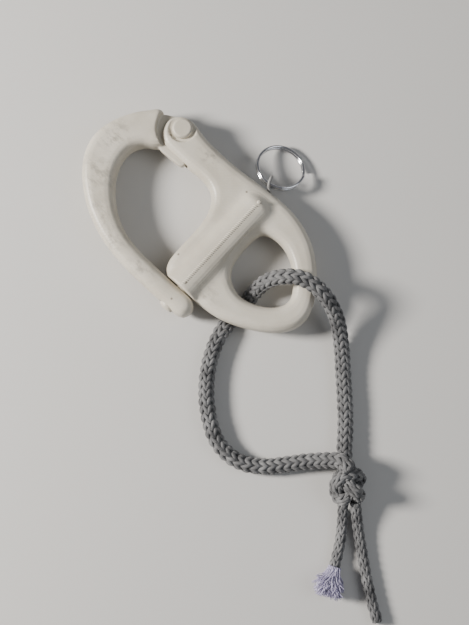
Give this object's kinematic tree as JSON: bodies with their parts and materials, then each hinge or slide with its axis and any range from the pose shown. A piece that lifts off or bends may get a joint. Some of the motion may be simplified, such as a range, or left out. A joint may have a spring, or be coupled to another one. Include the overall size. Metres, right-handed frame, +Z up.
{
  "type": "snap shackle",
  "caption": "Fixed-eye snap shackle with a hinged bail, a sprung plunger drawn back by a split ring, and a knotted loop of braided cord through the eye.",
  "frame": {"origin": "middle of the narrow flat under the barrel, on which the shackle rests", "axes": "+X from the bail to the eye, +Y along the plunger towards the pull ring, +Z up, along the hinge pin"},
  "size_m": [0.1548, 0.0921, 0.0145],
  "materials": {
    "printed_plastic": "printed white plastic, fine layer lines, dull sheen",
    "spring_steel": "bright drawn wire",
    "ring_steel": "polished nickel plate",
    "string": "twisted waxed thread",
    "cord": "grey braided polyester",
    "cord_end": "melted and frayed end with a lilac tint"
  },
  "bodies": {
    "frame": {"shackle_body": "printed_plastic", "hinge_pin": "printed_plastic", "hinge_pin_cap": "printed_plastic", "plunger_spring": "spring_steel", "cord_under": "cord", "cord_over": "cord", "cord_knot": "cord", "cord_tail_long": "cord", "cord_tail_short": "cord", "cord_fray": "cord_end"},
    "bail": {"bail": "printed_plastic"},
    "plunger": {"plunger": "printed_plastic", "pull_string": "string"},
    "ring": {"split_ring": "ring_steel"}
  },
  "joints": [
    {"name": "bail_hinge", "type": "hinge", "parent": "frame", "child": "bail", "pos_m": [-0.0318, 0.0168, 0.0059], "axis": [0, 0, 1], "range_deg": [-110, 0]},
    {"name": "plunger_slide", "type": "slide", "parent": "frame", "child": "plunger", "axis": [0, 1, 0], "range_m": [0, 0.0078], "stiffness_N_per_m": 60, "springref_m": -0.003, "deforming": ["plunger_spring"]},
    {"name": "ring_swing", "type": "hinge", "parent": "plunger", "child": "ring", "pos_m": [-0.0024, 0.0218, 0.0059], "axis": [1, 0, 0], "range_deg": [0, 75]}
  ]
}
